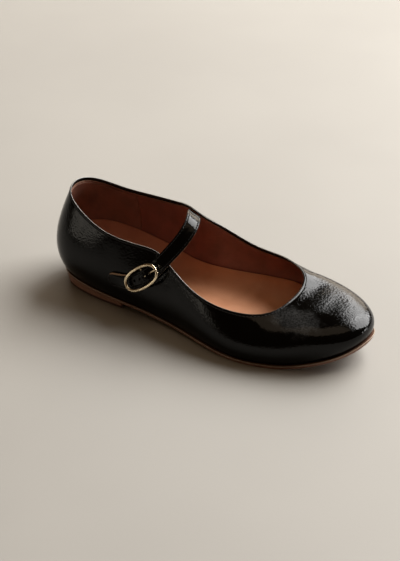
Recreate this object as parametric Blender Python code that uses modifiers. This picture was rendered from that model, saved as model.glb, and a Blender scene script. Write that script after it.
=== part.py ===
"""Ballet flat with one buckled instep strap: the right shoe.

Frame: +X towards the toe, +Y towards the medial (inner) side, +Z up, and the origin on the floor
under the middle of the shoe's box. Sizes are in millimetres and are made metres as each mesh
is built. In the tables, x is measured from the back of the outsole and y from the heel's middle.
"""

import collections
import math

import bmesh
import bpy
import numpy as np
from mathutils import Vector
from mathutils.bvhtree import BVHTree

MM = 0.001
GAP = 0.3                 # clearance between neighbouring pieces

LENGTH = 252.5            # outsole, heel to toe
SOLE_THICK = 2.4
HEEL_RISE = 10.0          # underside of the outsole above the floor at its very back
TOE_SPRING = 17.0
BALL_FROM, BALL_TO = 172.0, 199.0   # the forepart lies flat on the floor between these
SEAT_POWER, SPRING_POWER = 1.25, 1.8

HEEL_BREAST = 66.0
HEEL_INSET_TOP, HEEL_INSET_FLOOR = 0.6, 2.4

WALL = 1.8                # patent leather and lining together
INSOLE_THICK = 4.8        # board and padded sock
INSOLE_GAP = 0.6

STRAP_WIDTH, STRAP_THICK = 10.8, 1.8
STRAP_ROWS, STRAP_COLUMNS = 64, 8
SEAM_EASE = 8.0           # length of strap over which it takes up the shape of the ear's rim
TIP_LENGTH = 5.0          # the strap's rounded end

FRAME_LONG, FRAME_WIDE, WIRE = 30.5, 16.8, 1.9     # the buckle's frame, outside sizes
FRAME_SQUARENESS = 2.4    # 2 is an ellipse, and more is squarer
BAR_RADIUS, PRONG_RADIUS = 0.6, 0.5
BUCKLE_X, BUCKLE_Z = 88.5, 35.7     # where the buckle sits on the lateral quarter
BUCKLE_RISE = 40.0        # slope of the strap there, degrees
STRAP_HEIGHT = 4.6        # middle of the strap above the quarter where it passes under the frame
TAB_WIDE, TAB_LONG, TAB_THICK = 9.0, 15.0, 1.5
TAB_STANDOFF = 0.5        # clearance between the tab's plate and the quarter
BAR_CORNER = 1.2          # bend radius where the frame's bar meets its posts
PRONG_UNDER_STRAP = 2.0   # the prong's run starts here, along the strap from the bar

COLUMNS_PER_SECTION = 4
RINGS = 12                # points from the sole's edge to the rim

Row = collections.namedtuple(
    "Row", "name sole_x sole_y welt rim_x rim_y rim_z foot_angle foot_pull rim_angle rim_pull"
)
# foot_angle and rim_angle: how steeply the wall stands at the sole and at the rim, where 90 is
# upright and 0 lies flat, pointing outwards. The pulls are the lengths of the curve's handles.
HEEL_BACK = Row("heel_back", 0.0, 0.5, 0.8, 5.5, 2.0, 76.0, 54, 24, 68, 25)
LATERAL = (
    Row("heel_turn", 7.0, -20.0, 0.8, 11.5, -13.5, 73.0, 54, 23, 66, 24),
    Row("heel_side", 27.0, -30.2, 0.8, 30.0, -22.5, 65.0, 58, 21, 67, 22),
    Row("quarter", 56.0, -33.8, 0.8, 57.0, -28.0, 58.5, 65, 17, 72, 17),
    Row("ear_back", 82.0, -34.4, 0.8, 82.0, -25.5, 55.8, 68, 15, 72, 15),
    Row("ear_top", 96.0, -35.6, 0.8, 95.0, -25.0, 54.0, 68, 15, 70, 15),
    Row("ear_front", 107.0, -37.0, 0.9, 104.0, -27.5, 50.0, 67, 14, 70, 14),
    Row("waist", 120.0, -39.4, 1.0, 117.0, -32.0, 44.0, 66, 14, 70, 13),
    Row("ball", 145.0, -45.3, 1.2, 142.0, -38.5, 36.8, 64, 13, 64, 11),
    Row("joint", 172.0, -48.4, 1.3, 166.0, -38.0, 34.6, 62, 14, 52, 14),
    Row("vamp", 199.0, -42.4, 1.4, 182.0, -31.0, 34.2, 62, 17, 30, 18),
    Row("toe_side", 225.0, -31.0, 1.5, 190.0, -20.0, 34.8, 66, 19, 14, 26),
    Row("toe_turn", 244.5, -18.5, 1.6, 193.0, -9.0, 36.0, 68, 20, 8, 35),
)
TOE_TIP = Row("toe_tip", 252.5, 1.5, 1.6, 193.8, 1.0, 36.8, 70, 21, 5, 39)
MEDIAL = (
    Row("heel_turn", 7.0, 20.0, 0.8, 12.0, 17.5, 72.5, 56, 23, 68, 24),
    Row("heel_side", 27.0, 29.5, 0.8, 31.0, 26.0, 66.0, 60, 20, 74, 20),
    Row("quarter", 56.0, 27.5, 0.8, 58.0, 30.5, 63.5, 58, 19, 78, 18),
    Row("ear_back", 82.0, 25.0, 0.8, 82.0, 26.0, 67.0, 55, 20, 62, 18),
    Row("ear_top", 96.0, 24.6, 0.8, 97.5, 16.0, 72.5, 54, 20, 36, 20),
    Row("ear_front", 107.0, 24.8, 0.9, 107.5, 17.0, 67.5, 54, 19, 38, 20),
    Row("waist", 120.0, 26.4, 1.0, 116.5, 27.0, 57.0, 54, 17, 62, 18),
    Row("ball", 145.0, 33.0, 1.2, 142.0, 33.5, 44.0, 58, 16, 66, 14),
    Row("joint", 172.0, 36.8, 1.3, 165.0, 33.5, 41.6, 62, 17, 50, 15),
    Row("vamp", 199.0, 33.0, 1.4, 181.0, 28.5, 39.8, 61, 21, 24, 20),
    Row("toe_side", 225.0, 28.0, 1.5, 189.5, 20.5, 38.4, 63, 22, 9, 28),
    Row("toe_turn", 244.5, 19.5, 1.6, 193.0, 11.0, 37.5, 66, 21, 6, 36),
)
ROUND_THE_SHOE = (HEEL_BACK, *LATERAL, TOE_TIP, *reversed(MEDIAL))

# The strap's arch over the instep: a curve with two handles, from the middle of the ear's rim to
# the first place in the table below. It leaves the ear forward of straight across, and climbing.
EAR_HEADING, EAR_CLIMB = 30.0, 25.0     # degrees
EAR_PULL, BUCKLE_PULL = 20.0, 40.0      # lengths of the handles
BUCKLE_TURN, BUCKLE_LEAN = 0.3, 0.3     # slopes of its low end off the buckle's line: across, and inwards
ARCH_PLACES = 6
# Its middle as it passes the buckle, measured along and across the strap from the buckle's bar.
# lift is the share of its rise over the bar, and lean turns its side away from square.
BucklePoint = collections.namedtuple("BucklePoint", "along across lift lean")
STRAP_IN_BUCKLE = (
    BucklePoint(17.0, 2.3, 0.1, 0.24),
    BucklePoint(12.0, 1.0, 0.0, 0.16),
    BucklePoint(8.2, 0.3, 0.1, 0.06),
    BucklePoint(4.5, -0.1, 0.7, -0.02),
    BucklePoint(0.0, -0.3, 1.0, -0.08),
    BucklePoint(-4.5, 0.0, 0.7, -0.16),
    BucklePoint(-8.2, 0.6, 0.1, -0.26),
    BucklePoint(-12.0, 1.6, 0.0, -0.30),
    BucklePoint(-16.0, 3.0, -0.2, -0.36),
)
# The free end, as places on the quarter and the height of the strap's middle above it.
TailPoint = collections.namedtuple("TailPoint", "x z height")
STRAP_TAIL = (TailPoint(66.5, 27.6, 3.6), TailPoint(58.0, 26.4, 2.6))
TAIL_SLOPE = 0.15         # the free end still falls a little towards the heel
# The prong after its eye, along and out from the bar: under the strap, through its hole, onto the frame.
PRONG_RUN = ((4.4, -1.35), (5.8, -0.55), (7.4, 1.0), (9.4, 2.5), (11.6, 3.45))


def column(name):
    return np.array([getattr(row, name) for row in ROUND_THE_SHOE], float)


def spline(knots, values, samples, period=None):
    """Cubic spline through values at knots; closed when a period is given."""
    values = np.asarray(values, float).reshape(len(knots), -1)
    if period:
        knots = np.append(knots, knots[0] + period)
        values = np.vstack([values, values[:1]])
    step = np.diff(knots)
    slope = np.diff(values, axis=0) / step[:, None]
    count = len(knots)
    matrix = np.eye(count)
    right = np.zeros_like(values)
    for i in range(1, count - 1):
        matrix[i, i - 1 : i + 2] = step[i - 1], 2 * (step[i - 1] + step[i]), step[i]
        right[i] = 6 * (slope[i] - slope[i - 1])
    if period:
        matrix[0, [0, 1, -2, -1]] = 2 * step[0], step[0], step[-1], 2 * step[-1]
        right[0] = 6 * (slope[0] - slope[-1])
        matrix[-1, [0, -1]] = -1, 1
    bend = np.linalg.solve(matrix, right)
    samples = np.asarray(samples, float)
    i = np.clip(np.searchsorted(knots, samples, "right") - 1, 0, count - 2)
    h = step[i][:, None]
    b = (samples - knots[i])[:, None] / h
    a = 1 - b
    curve = a * values[i] + b * values[i + 1]
    return curve + ((a**3 - a) * bend[i] + (b**3 - b) * bend[i + 1]) * h**2 / 6


def round_the_shoe():
    """Every column of the tables, sampled round the shoe from the heel's back."""
    plan = np.column_stack([column("sole_x"), column("sole_y")])
    rim = np.column_stack([column("rim_x"), column("rim_y")])
    path = (plan + rim) / 2
    reach = np.linalg.norm(np.roll(path, -1, axis=0) - path, axis=1)
    lateral_steps = reach[: len(LATERAL) + 1]
    medial_steps = reach[len(LATERAL) + 1 :][::-1]
    steps = (lateral_steps + medial_steps) / 2   # alike on both sides, so the two sides pair up
    steps = np.concatenate([steps, steps[::-1]])
    knots = np.concatenate([[0.0], np.cumsum(steps)[:-1]])
    within = np.arange(COLUMNS_PER_SECTION) / COLUMNS_PER_SECTION
    samples = (knots[:, None] + steps[:, None] * within).ravel()
    names = Row._fields[1:]
    values = np.column_stack([column(name) for name in names])
    sampled = spline(knots, values, samples, period=steps.sum())
    return dict(zip(names, sampled.T))


AROUND = round_the_shoe()
COUNT = len(AROUND["sole_x"])
HALF = COUNT // 2


def sole_under(x):
    """Height of the outsole's underside above the floor."""
    seat = np.clip((BALL_FROM - x) / BALL_FROM, 0, 1) ** SEAT_POWER * HEEL_RISE
    tip = np.clip((x - BALL_TO) / (LENGTH - BALL_TO), 0, 1) ** SPRING_POWER * TOE_SPRING
    return seat + tip


def outward():
    """Unit vectors in plan, square to the outsole's edge."""
    plan = np.column_stack([AROUND["sole_x"], AROUND["sole_y"]])
    along = np.roll(plan, -1, axis=0) - np.roll(plan, 1, axis=0)
    out = np.column_stack([along[:, 1], -along[:, 0]])
    out /= np.linalg.norm(out, axis=1)[:, None]
    return -out if out[0, 0] > 0 else out


OUTWARD = outward()


def edge(inset):
    """The outsole's outline in plan, drawn in by inset."""
    return np.column_stack([AROUND["sole_x"], AROUND["sole_y"]]) - OUTWARD * np.reshape(inset, (-1, 1))


def centred(points):
    """From the tables' frame to the part's, in metres."""
    return (np.asarray(points, float) + FRAME_SHIFT) * MM


def material(name, colour, roughness, metallic=0.0, coat=0.0):
    made = bpy.data.materials.new(name)
    made.use_nodes = True
    shader = made.node_tree.nodes["Principled BSDF"]
    shader.inputs["Base Color"].default_value = (*colour, 1.0)
    shader.inputs["Roughness"].default_value = roughness
    shader.inputs["Metallic"].default_value = metallic
    shader.inputs["Coat Weight"].default_value = coat
    return made


def mesh_object(name, points, faces, finish, where):
    """A named object from points in the part's frame, with doubles merged and faces outward."""
    mesh = bpy.data.meshes.new(name)
    mesh.from_pydata([tuple(p) for p in points], [], faces)
    shape = bmesh.new()
    shape.from_mesh(mesh)
    bmesh.ops.remove_doubles(shape, verts=shape.verts, dist=1e-7)
    bmesh.ops.recalc_face_normals(shape, faces=shape.faces)
    shape.to_mesh(mesh)
    shape.free()
    mesh.shade_smooth()
    mesh.set_sharp_from_angle(angle=math.radians(40))
    if finish:
        mesh.materials.append(finish)
    made = bpy.data.objects.new(name, mesh)
    where.objects.link(made)
    return made


def grid_faces(rows, columns, closed=False):
    """Quads over a grid of points stored row by row; closed joins the last column to the first."""
    across = columns if closed else columns - 1
    return [
        (r * columns + c, r * columns + (c + 1) % columns,
         (r + 1) * columns + (c + 1) % columns, (r + 1) * columns + c)
        for r in range(rows - 1)
        for c in range(across)
    ]


# ---- the upper

def wall_points():
    """The upper's outer surface: RINGS rows, each a closed ring round the shoe."""
    foot = edge(AROUND["welt"])
    start = np.column_stack([foot, sole_under(foot[:, 0]) + SOLE_THICK + GAP])
    rim = np.column_stack([AROUND["rim_x"], AROUND["rim_y"], AROUND["rim_z"]])
    out = np.column_stack([OUTWARD, np.zeros(COUNT)])
    up = np.array([0.0, 0.0, 1.0])

    def handle(angle, pull, sign):
        tilt = np.radians(AROUND[angle])[:, None]
        return (out * np.cos(tilt) + sign * up * np.sin(tilt)) * AROUND[pull][:, None]

    low = start + handle("foot_angle", "foot_pull", 1)
    high = rim + handle("rim_angle", "rim_pull", -1)
    rows = []
    for t in np.linspace(0, 1, RINGS):
        s = 1 - t
        rows.append(s**3 * start + 3 * s * s * t * low + 3 * s * t * t * high + t**3 * rim)
    return np.array(rows)


def make_upper(finish, where):
    points = wall_points()
    upper = mesh_object(
        "upper", centred(points.reshape(-1, 3)), grid_faces(RINGS, COUNT, closed=True), finish, where
    )
    face_out(upper)
    wall = upper.modifiers.new("wall", "SOLIDIFY")
    wall.thickness = WALL * MM
    wall.offset = -1
    wall.use_even_offset = True
    return upper


def face_out(obj):
    """Turns an open sheet's faces so that they point away from the shoe's inside."""
    mesh = obj.data
    middle = Vector((0, 0, 0.03))
    outwards = sum((f.center - middle).dot(f.normal) * f.area for f in mesh.polygons)
    if outwards < 0:
        mesh.flip_normals()


# ---- sole pieces

def slab(name, low_edge, high_edge, low, high, columns, finish, where):
    """A solid between two outlines that share their x stations, ladder-like across the shoe.

    columns are the places on the lateral side, heel to toe, that have a rung.
    """
    across = np.linspace(0, 1, 6)
    points, sheets = [], []
    for outline, height in ((low_edge, low), (high_edge, high)):
        sheet = []
        for c in columns:
            a, b = outline[c], outline[-c % COUNT]
            for t in across:
                x, y = a * (1 - t) + b * t
                sheet.append((x, y, height(x)))
        sheets.append(len(points))
        points += sheet
    rows, width = len(columns), len(across)
    faces = []
    for first in sheets:
        faces += [tuple(first + i for i in face) for face in grid_faces(rows, width)]
    shift = sheets[1]
    rim = [r * width for r in range(rows)]
    rim += [(rows - 1) * width + c for c in range(1, width)]
    rim += [r * width + width - 1 for r in range(rows - 2, -1, -1)]
    rim += [c for c in range(width - 2, 0, -1)]
    for a, b in zip(rim, rim[1:] + rim[:1]):
        faces.append((a, b, b + shift, a + shift))
    return mesh_object(name, centred(points), faces, finish, where)


def soften(obj, width):
    bevel = obj.modifiers.new("edges", "BEVEL")
    bevel.width = width * MM
    bevel.segments = 1
    bevel.limit_method = "ANGLE"
    bevel.angle_limit = math.radians(50)
    bevel.use_clamp_overlap = True


def make_outsole(finish, where):
    outline = edge(0.0)
    return slab("outsole", edge(0.5), outline, sole_under, lambda x: sole_under(x) + SOLE_THICK,
                range(HALF + 1), finish, where)


def make_heel(finish, where):
    columns = [c for c in range(HALF + 1) if AROUND["sole_x"][c] < HEEL_BREAST - 2.0]
    top, floor = edge(HEEL_INSET_TOP), edge(HEEL_INSET_FLOOR)
    last = columns[-1] + 1
    for outline in (top, floor):
        for c in (last, -last % COUNT):
            outline[c, 0] = HEEL_BREAST
    columns.append(last)
    return slab("heel", floor, top, lambda x: 0.0, lambda x: sole_under(x) - GAP, columns, finish, where)


def make_insole(finish, where):
    inset = AROUND["welt"] + WALL + INSOLE_GAP
    outline = edge(inset)
    return slab("insole", outline, outline, lambda x: sole_under(x) + SOLE_THICK + GAP,
                lambda x: sole_under(x) + SOLE_THICK + GAP + INSOLE_THICK, range(HALF + 1), finish, where)


# ---- the strap and the buckle. A place by the buckle is (along, across, out): along the strap towards
# the instep, across it towards the heel, and out from the strap's middle. Its origin is over the bar.

Seat = collections.namedtuple("Seat", "origin along across out")


def quarter_at(wall, x, z):
    """The point of the lateral quarter's outer surface at x and z."""
    hit = wall.ray_cast(Vector((x, -100.0, z)), Vector((0, 1, 0)))[0]
    return np.array(hit)


def quarter_normal(wall, x, z, reach=5.0):
    along = quarter_at(wall, x + reach, z) - quarter_at(wall, x - reach, z)
    upward = quarter_at(wall, x, z + reach) - quarter_at(wall, x, z - reach)
    normal = np.cross(along, upward)
    return normal / np.linalg.norm(normal)


def buckle_seat(wall):
    out = quarter_normal(wall, BUCKLE_X, BUCKLE_Z)
    level = np.cross([0, 0, 1], out)
    level /= np.linalg.norm(level)
    upward = np.cross(out, level)
    rise = math.radians(BUCKLE_RISE)
    along = level * math.cos(rise) + upward * math.sin(rise)
    origin = quarter_at(wall, BUCKLE_X, BUCKLE_Z) + out * STRAP_HEIGHT
    return Seat(origin, along, np.cross(out, along), out)


def by_buckle(seat, places):
    places = np.asarray(places, float)
    return seat.origin + places @ np.array([seat.along, seat.across, seat.out])


def lengths_along(points):
    return np.concatenate([[0], np.cumsum(np.linalg.norm(np.diff(points, axis=0), axis=1))])


def unit(vectors):
    return vectors / np.linalg.norm(vectors, axis=-1, keepdims=True)


def swept(points, radius, sides, closed=False):
    """Vertices and faces of a round wire along points, with flat caps when it is open."""
    points = np.asarray(points, float)
    count = len(points)
    if closed:
        tangent = unit(np.roll(points, -1, axis=0) - np.roll(points, 1, axis=0))
    else:
        tangent = unit(np.gradient(points, axis=0))
    normal = np.cross(tangent[0], [0.31, 0.2, 0.93])
    turns = np.linspace(0, 2 * math.pi, sides, endpoint=False)[:, None]
    rings = []
    for here, ahead in zip(points, tangent):
        normal = unit(normal - ahead * np.dot(normal, ahead))
        side = np.cross(ahead, normal)
        rings.append(here + radius * (np.cos(turns) * normal + np.sin(turns) * side))
    faces = grid_faces(count, sides, closed=True)
    if closed:
        last = (count - 1) * sides
        twist = int(np.argmin(np.linalg.norm(rings[0] - rings[-1][0], axis=1)))
        faces += [(last + i, last + (i + 1) % sides, (i + 1 + twist) % sides, (i + twist) % sides)
                  for i in range(sides)]
    else:
        faces += [tuple(range(sides)), tuple(range((count - 1) * sides, count * sides))]
    return np.concatenate(rings), faces


def combine(target, tool, operation):
    """A Boolean on target. The tool becomes a hidden helper."""
    tool.hide_render = True
    tool.display_type = "WIRE"
    change = target.modifiers.new(tool.name, "BOOLEAN")
    change.operation = operation
    change.solver = "EXACT"
    change.object = tool


def block(name, seat, low, high, where):
    """A box between two opposite corners given by the buckle."""
    corners = [(x, y, z) for x in (low[0], high[0]) for y in (low[1], high[1]) for z in (low[2], high[2])]
    faces = [(0, 1, 3, 2), (4, 6, 7, 5), (0, 4, 5, 1), (2, 3, 7, 6), (0, 2, 6, 4), (1, 5, 7, 3)]
    return mesh_object(name, centred(by_buckle(seat, corners)), faces, None, where)


def wire(name, seat, places, radius, sides, finish, where, closed=False):
    points, faces = swept(by_buckle(seat, places), radius, sides, closed)
    return mesh_object(name, centred(points), faces, finish, where)


WIRE_RADIUS = WIRE / 2
FRAME_OUT = STRAP_THICK / 2 + GAP + WIRE_RADIUS     # the frame's wire lies on the strap
BAR_OUT = GAP + BAR_RADIUS + GAP + 2 * PRONG_RADIUS - STRAP_HEIGHT   # the prong's eye clears the quarter
EYE_RADIUS = BAR_RADIUS + GAP + PRONG_RADIUS        # centre line of the prong's eye round the bar
STRAP_LIFT = BAR_OUT + EYE_RADIUS + PRONG_RADIUS + GAP + STRAP_THICK / 2   # the strap rises over the bar
TIP_OUT = FRAME_OUT + WIRE_RADIUS + GAP + PRONG_RADIUS


def make_frame(seat, finish, where, cutters):
    long, wide = FRAME_LONG / 2 - WIRE_RADIUS, FRAME_WIDE / 2 - WIRE_RADIUS
    turns = np.linspace(0, 2 * math.pi, 44, endpoint=False)
    power = 2 / FRAME_SQUARENESS
    oval = [(long * math.copysign(abs(math.cos(t)) ** power, math.cos(t)),
             wide * math.copysign(abs(math.sin(t)) ** power, math.sin(t)), FRAME_OUT) for t in turns]
    frame = wire("buckle_frame", seat, oval, WIRE_RADIUS, 10, finish, where, closed=True)
    corner, bend = BAR_CORNER, BAR_CORNER * (1 - math.sqrt(0.5))
    bar = [(0, wide, FRAME_OUT), (0, wide, BAR_OUT + corner), (0, wide - bend, BAR_OUT + bend),
           (0, wide - corner, BAR_OUT), (0, 0, BAR_OUT)]
    bar += [(s, -w, n) for s, w, n in bar[-2::-1]]
    combine(frame, wire("bar", seat, bar, BAR_RADIUS, 10, None, cutters), "UNION")
    return frame


def prong_path():
    """From the eye's open end, round the bar, under the strap, up through its hole and onto the frame."""
    turns = np.radians(np.linspace(-60, -330, 12))
    eye = [(EYE_RADIUS * math.cos(t), 0, BAR_OUT + EYE_RADIUS * math.sin(t)) for t in turns[:-1]]
    reach = FRAME_LONG / 2 - WIRE_RADIUS
    run = [(2.6, 0, BAR_OUT + EYE_RADIUS * 0.86)] + [(s, 0, n) for s, n in PRONG_RUN]
    run += [(reach, 0, TIP_OUT), (reach + 1.2, 0, TIP_OUT - 0.1)]
    points = np.array(eye + run)
    knots = lengths_along(points)
    return spline(knots, points, np.linspace(0, knots[-1], 40))


def make_prong(seat, finish, where):
    return wire("buckle_prong", seat, prong_path(), PRONG_RADIUS, 8, finish, where)


def make_tab(seat, wall, finish, where, cutters):
    """A plate that follows the quarter, with a loop round the bar and a slot for the prong's eye."""
    half = TAB_WIDE / 2
    rows, columns = 9, 7
    points = []
    hole = BAR_RADIUS + GAP
    for layer in (TAB_STANDOFF, TAB_STANDOFF + TAB_THICK):
        for s in np.linspace(-TAB_LONG, -1.15 * hole, rows):
            narrow = 1 - 0.35 * max(0, (-s - TAB_LONG + 3) / 3) ** 2   # rounds the sewn end
            for w in np.linspace(-half, half, columns) * narrow:
                level = by_buckle(seat, (s, w, -STRAP_HEIGHT))
                ground = quarter_at(wall, level[0], level[2])
                fall = np.dot(ground - seat.origin, seat.out)
                points.append((s, w, fall + layer))
    faces = grid_faces(rows, columns)
    shift = rows * columns
    faces += [tuple(i + shift for i in face) for face in faces]
    rim = [c for c in range(columns)] + [r * columns + columns - 1 for r in range(1, rows)]
    rim += [(rows - 1) * columns + c for c in range(columns - 2, -1, -1)]
    rim += [r * columns for r in range(rows - 2, 0, -1)]
    faces += [(a, b, b + shift, a + shift) for a, b in zip(rim, rim[1:] + rim[:1])]
    tab = mesh_object("buckle_tab", centred(by_buckle(seat, points)), faces, finish, where)
    across = [(0, -half, BAR_OUT), (0, half, BAR_OUT)]
    through = [(0, -half - 1, BAR_OUT), (0, half + 1, BAR_OUT)]
    combine(tab, wire("tab_loop", seat, across, EYE_RADIUS + PRONG_RADIUS, 20, None, cutters), "UNION")
    combine(tab, wire("tab_bore", seat, through, hole, 16, None, cutters), "DIFFERENCE")
    slot = PRONG_RADIUS + GAP
    low, high = (-EYE_RADIUS - PRONG_RADIUS - GAP, -slot, BAR_OUT - 4), (4, slot, BAR_OUT + 4)
    combine(tab, block("tab_slot", seat, low, high, cutters), "DIFFERENCE")
    return tab


def strap_arch(seat, low_end, low_side):
    """Places along the arch and unit vectors across it, from the ear to just short of its low end."""
    rim = seam_points(3)
    heading, climb = math.radians(EAR_HEADING), math.radians(EAR_CLIMB)
    forward, inward = math.sin(heading) * math.cos(climb), math.cos(heading) * math.cos(climb)
    leaving = np.array([forward, -inward, math.sin(climb)])
    rising = unit(seat.along + seat.across * BUCKLE_TURN - seat.out * BUCKLE_LEAN)
    high, low = rim[1] + leaving * EAR_PULL, low_end + rising * BUCKLE_PULL
    t = np.linspace(0, 1, ARCH_PLACES, endpoint=False)[:, None]
    s = 1 - t
    places = s**3 * rim[1] + 3 * s * s * t * high + 3 * s * t * t * low + t**3 * low_end
    return list(places), list(unit(s * unit(rim[2] - rim[0]) + t * low_side))


def strap_rows(seat, wall):
    """The middle of each row of the strap's outer face, unit vectors across it, and lengths along it."""
    middles, sides = [], []
    for point in STRAP_IN_BUCKLE:
        out = point.lift * STRAP_LIFT + STRAP_THICK / 2
        middles.append(by_buckle(seat, (point.along, point.across, out)))
        sides.append(unit(point.lean * seat.along - seat.across))
    arch_middles, arch_sides = strap_arch(seat, middles[0], sides[0])
    middles, sides = arch_middles + middles, arch_sides + sides
    for point in STRAP_TAIL:
        normal = quarter_normal(wall, point.x, point.z)
        middles.append(quarter_at(wall, point.x, point.z) + normal * (point.height + STRAP_THICK / 2))
        sides.append(unit(np.cross((1, 0, TAIL_SLOPE), normal)))
    knots = lengths_along(np.array(middles))
    at = np.linspace(0, knots[-1], STRAP_ROWS)
    path = spline(knots, np.array(middles), at)
    across = spline(knots, np.array(sides), at)
    tangent = unit(np.gradient(path, axis=0))
    across -= tangent * (across * tangent).sum(axis=1)[:, None]
    return path, unit(across), at


def seam_points(count):
    """Points along the ear's rim where the strap joins it, from the heel's side to the toe's."""
    names = [row.name for row in MEDIAL]
    behind = COUNT - COLUMNS_PER_SECTION * (1 + names.index("ear_top"))
    rim = np.column_stack([AROUND["rim_x"], AROUND["rim_y"], AROUND["rim_z"]])
    edge_line = rim[behind - COLUMNS_PER_SECTION : behind + 1][::-1]
    steps = np.concatenate([[0], np.cumsum(np.linalg.norm(np.diff(edge_line, axis=0), axis=1))])
    places = steps[-1] / 2 + np.linspace(-0.5, 0.5, count) * STRAP_WIDTH
    return np.column_stack([np.interp(places, steps, edge_line[:, i]) for i in range(3)])


def make_strap(seat, wall, finish, where, cutters):
    path, across, at = strap_rows(seat, wall)
    from_tip = (at[-1] - at) / TIP_LENGTH
    half = STRAP_WIDTH / 2 * np.sqrt(1 - np.clip(1 - from_tip, 0, 0.97) ** 2)
    spread = np.linspace(-1, 1, STRAP_COLUMNS)
    rows = path[:, None, :] + across[:, None, :] * (half[:, None] * spread)[:, :, None]
    ease = np.clip(1 - at / SEAM_EASE, 0, 1) ** 2
    start = seam_points(STRAP_COLUMNS) + unit(path[1] - path[0]) * 2 * GAP
    rows += (start - rows[0]) * ease[:, None, None]
    faces = grid_faces(STRAP_ROWS, STRAP_COLUMNS)
    strap = mesh_object("strap", centred(rows.reshape(-1, 3)), faces, finish, where)
    face_out(strap)
    thick = strap.modifiers.new("thickness", "SOLIDIFY")
    thick.thickness = STRAP_THICK * MM
    thick.offset = -1
    thick.use_even_offset = True
    rising = [place for place in prong_path() if place[0] > PRONG_UNDER_STRAP]
    hole = wire("strap_hole", seat, rising, PRONG_RADIUS + GAP, 12, None, cutters)
    combine(strap, hole, "DIFFERENCE")
    return strap


def clear_scene():
    for obj in list(bpy.data.objects):
        bpy.data.objects.remove(obj, do_unlink=True)


clear_scene()
all_points = wall_points().reshape(-1, 3)
sole_points = edge(0.0)
low = np.minimum(all_points.min(axis=0)[:2], sole_points.min(axis=0))
high = np.maximum(all_points.max(axis=0)[:2], sole_points.max(axis=0))
FRAME_SHIFT = np.array([*(-(low + high) / 2), 0.0])

shoe = bpy.data.collections.new("ballet_flat")
helpers = bpy.data.collections.new("cutters")
bpy.context.scene.collection.children.link(shoe)
bpy.context.scene.collection.children.link(helpers)
patent = material("black_patent", (0.012, 0.012, 0.013), 0.22, coat=1.0)
sole_leather = material("sole_leather", (0.36, 0.2, 0.12), 0.5)
heel_leather = material("heel_leather", (0.16, 0.07, 0.04), 0.5)
sock = material("insole_leather", (0.5, 0.26, 0.13), 0.6)
metal = material("buckle_metal", (0.78, 0.7, 0.58), 0.2, metallic=1.0)

make_upper(patent, shoe)
soften(make_outsole(sole_leather, shoe), 0.4)
soften(make_heel(heel_leather, shoe), 0.4)
make_insole(sock, shoe)

outer = wall_points().reshape(-1, 3)
quarter = BVHTree.FromPolygons([tuple(p) for p in outer], grid_faces(RINGS, COUNT, closed=True))
seat = buckle_seat(quarter)
make_strap(seat, quarter, patent, shoe, helpers)
make_tab(seat, quarter, patent, shoe, helpers)
make_frame(seat, metal, shoe, helpers)
make_prong(seat, metal, shoe)
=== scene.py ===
"""Looks of a ballet flat with one buckled instep strap: the right shoe.

Frame: +X towards the toe, +Y towards the medial side, +Z up, in metres, with the origin on the
floor under the middle of the shoe. The shoe's own sizes are in millimetres and are scaled by MM;
the floor and the lights are in metres.
"""

import collections
import contextlib
import math

import bpy
import numpy as np
from mathutils import Matrix, Vector
from mathutils.bvhtree import BVHTree
from mathutils.kdtree import KDTree


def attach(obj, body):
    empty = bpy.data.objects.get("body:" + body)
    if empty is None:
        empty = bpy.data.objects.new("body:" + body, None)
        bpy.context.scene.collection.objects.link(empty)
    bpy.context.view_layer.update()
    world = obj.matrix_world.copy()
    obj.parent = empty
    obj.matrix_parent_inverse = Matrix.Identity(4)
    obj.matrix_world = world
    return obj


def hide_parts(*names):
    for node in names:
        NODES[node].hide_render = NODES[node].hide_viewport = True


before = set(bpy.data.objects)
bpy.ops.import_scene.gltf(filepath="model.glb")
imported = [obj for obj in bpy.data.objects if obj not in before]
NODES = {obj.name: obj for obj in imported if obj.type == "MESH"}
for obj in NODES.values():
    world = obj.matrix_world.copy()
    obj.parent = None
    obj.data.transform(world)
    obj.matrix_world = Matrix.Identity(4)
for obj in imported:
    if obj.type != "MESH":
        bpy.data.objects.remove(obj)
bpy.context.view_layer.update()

MM = 0.001


# ---- bench tools: picking pieces and parts of pieces

def pick(*pieces):
    bpy.ops.object.select_all(action="DESELECT")
    for piece in pieces:
        piece.select_set(True)
    bpy.context.view_layer.objects.active = pieces[0]


@contextlib.contextmanager
def editing(piece, kind="FACE", chosen=None):
    """Opens a piece for editing with only the chosen vertices, edges or faces picked."""
    pick(piece)
    mesh = piece.data
    parts = {"VERT": mesh.vertices, "EDGE": mesh.edges, "FACE": mesh.polygons}
    for part in parts.values():
        part.foreach_set("select", np.zeros(len(part), bool))
    if chosen is not None:
        flags = np.zeros(len(parts[kind]), bool)
        flags[chosen] = True
        parts[kind].foreach_set("select", flags)
    bpy.context.tool_settings.mesh_select_mode = tuple(name == kind for name in parts)
    bpy.ops.object.mode_set(mode="EDIT")
    yield
    bpy.ops.object.mode_set(mode="OBJECT")


def picked(part):
    flags = np.zeros(len(part), bool)
    part.foreach_get("select", flags)
    return np.flatnonzero(flags)


def read(parts, what):
    """A place or direction of each vertex or face, one row each."""
    rows = np.empty(len(parts) * 3, np.float32)
    parts.foreach_get(what, rows)
    return rows.reshape(-1, 3)


def points_of(piece):
    return read(piece.data.vertices, "co").astype(float)


def move_to(piece, points):
    piece.data.vertices.foreach_set("co", np.asarray(points, np.float32).ravel())
    piece.data.update()


def face_centres(piece):
    return read(piece.data.polygons, "center")


def unit(vectors):
    return vectors / np.linalg.norm(vectors, axis=-1, keepdims=True)


def nearest(points, queries):
    """The index in points nearest to each query."""
    tree = KDTree(len(points))
    for i, point in enumerate(points):
        tree.insert(point, i)
    tree.balance()
    return np.array([tree.find(query)[1] for query in queries])


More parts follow.
